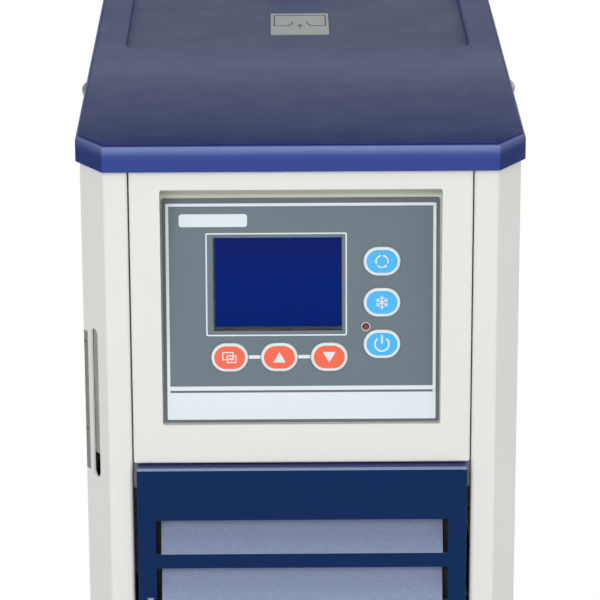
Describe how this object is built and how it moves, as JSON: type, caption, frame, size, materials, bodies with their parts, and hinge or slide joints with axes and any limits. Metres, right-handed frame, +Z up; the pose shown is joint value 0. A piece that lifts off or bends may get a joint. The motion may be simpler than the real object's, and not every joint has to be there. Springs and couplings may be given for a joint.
{
  "type": "recirculating chiller",
  "caption": "Tall recirculating chiller with a shallow lid tray, a tilted keypad and display in a recess, a lanced louvre panel below and hose nozzles behind.",
  "frame": {"origin": "centre of the bounding box in plan, on the floor under the feet", "axes": "+Z up, the front with the keypad and louvres faces -Y, +X to the right of someone who faces the front"},
  "size_m": [0.2586, 0.494, 0.5313],
  "materials": {
    "lid_blue": "semi-gloss",
    "panel_blue": "satin",
    "cabinet_white": "fine powder coat",
    "zinc_steel": "zinc plated",
    "rubber_black": "matte",
    "screw_steel": "polished",
    "label_plate": "printed film",
    "overlay_film": "fine texture film",
    "key_orange": "satin film",
    "key_blue": "satin film",
    "display_glass": "clear",
    "display_glass_back": "lit display",
    "lamp_red": "tinted lens",
    "board_green": "solder mask",
    "clear_tube": "clear plastic tube",
    "fitting_white": "moulded",
    "stainless": "brushed",
    "foam_black": "closed-cell foam",
    "copper": "copper tube",
    "black_plastic": "moulded",
    "brass": "turned",
    "lever_red": "moulded",
    "motor_paint": "semi-gloss",
    "hose_rubber": "matte",
    "fin_aluminium": "rolled foil",
    "fan_aluminium": "pressed",
    "compressor_paint": "gloss black",
    "box_grey": "moulded"
  },
  "bodies": {
    "cabinet": {"base_tray": "zinc_steel", "capillary": "copper", "compressor": "compressor_paint", "compressor_mounts": "rubber_black", "condenser_core": "fin_aluminium", "condenser_tubes": "copper", "control_board": "board_green", "control_bracket": "cabinet_white", "delivery_hose": "hose_rubber", "discharge_pipe": "copper", "display_module": "display_glass_back", "display_window": "display_glass", "drain_valve": "brass", "electrical_box": "box_grey", "evaporator_coil": "copper", "fan_motor": "motor_paint", "fan_shroud": "zinc_steel", "feet": "rubber_black", "fill_label": "label_plate", "front_panel": "cabinet_white", "front_rail": "zinc_steel", "hose_nozzles": "brass", "keypad_overlay": "overlay_film", "left_side_panel": "cabinet_white", "level_elbows": "fitting_white", "level_hose": "hose_rubber", "level_scale": "label_plate", "level_tube": "clear_tube", "lid_screws": "screw_steel", "liquid_line": "copper", "lower_front_panel": "panel_blue", "power_inlet": "black_plastic", "pump_head": "stainless", "pump_motor": "motor_paint", "rear_panel": "cabinet_white", "rear_screws": "screw_steel", "reservoir": "stainless", "reservoir_jacket": "foam_black", "reservoir_lid": "stainless", "return_hose": "hose_rubber", "right_side_panel": "cabinet_white", "shelf": "zinc_steel", "short_hoses": "hose_rubber", "status_lamp": "lamp_red", "suction_pipe": "copper", "switch_frame": "black_plastic", "temperature_probe": "stainless", "terminal_cover": "black_plastic", "top_cover": "lid_blue", "vent_hose": "hose_rubber"},
    "cap": {"filler_cap": "fitting_white"},
    "fan": {"fan_blade": "fan_aluminium"},
    "drain_handle": {"drain_lever": "lever_red"},
    "rocker": {"power_switch": "lever_red"},
    "key_menu_button": {"key_menu": "key_orange"},
    "key_up_button": {"key_up": "key_orange"},
    "key_down_button": {"key_down": "key_orange"},
    "key_circulate_button": {"key_circulate": "key_blue"},
    "key_cool_button": {"key_cool": "key_blue"},
    "key_power_button": {"key_power": "key_blue"}
  },
  "joints": [
    {"name": "key_menu_press", "type": "slide", "parent": "cabinet", "child": "key_menu_button", "axis": [0, 0.9945, -0.1045], "range_m": [0, 0.0005], "stiffness_N_per_m": 1500, "springref_m": -0.0003},
    {"name": "key_up_press", "type": "slide", "parent": "cabinet", "child": "key_up_button", "axis": [0, 0.9945, -0.1045], "range_m": [0, 0.0005], "stiffness_N_per_m": 1500, "springref_m": -0.0003},
    {"name": "key_down_press", "type": "slide", "parent": "cabinet", "child": "key_down_button", "axis": [0, 0.9945, -0.1045], "range_m": [0, 0.0005], "stiffness_N_per_m": 1500, "springref_m": -0.0003},
    {"name": "key_circulate_press", "type": "slide", "parent": "cabinet", "child": "key_circulate_button", "axis": [0, 0.9945, -0.1045], "range_m": [0, 0.0005], "stiffness_N_per_m": 1500, "springref_m": -0.0003},
    {"name": "key_cool_press", "type": "slide", "parent": "cabinet", "child": "key_cool_button", "axis": [0, 0.9945, -0.1045], "range_m": [0, 0.0005], "stiffness_N_per_m": 1500, "springref_m": -0.0003},
    {"name": "key_power_press", "type": "slide", "parent": "cabinet", "child": "key_power_button", "axis": [0, 0.9945, -0.1045], "range_m": [0, 0.0005], "stiffness_N_per_m": 1500, "springref_m": -0.0003},
    {"name": "cap_turn", "type": "hinge", "parent": "cabinet", "child": "cap", "pos_m": [0, 0.155, 0.5233], "axis": [0, 0, 1], "range_deg": [0, 90]},
    {"name": "fan_spin", "type": "hinge", "parent": "cabinet", "child": "fan", "pos_m": [0, -0.168, 0.147], "axis": [0, 1, 0], "continuous": true},
    {"name": "drain_turn", "type": "hinge", "parent": "cabinet", "child": "drain_handle", "pos_m": [0, 0.232, 0.3233], "axis": [0, 0, 1], "range_deg": [0, 90]},
    {"name": "rocker_tilt", "type": "hinge", "parent": "cabinet", "child": "rocker", "pos_m": [0.084, 0.219, 0.13], "axis": [0, 0, 1], "range_deg": [-24, 0]}
  ]
}
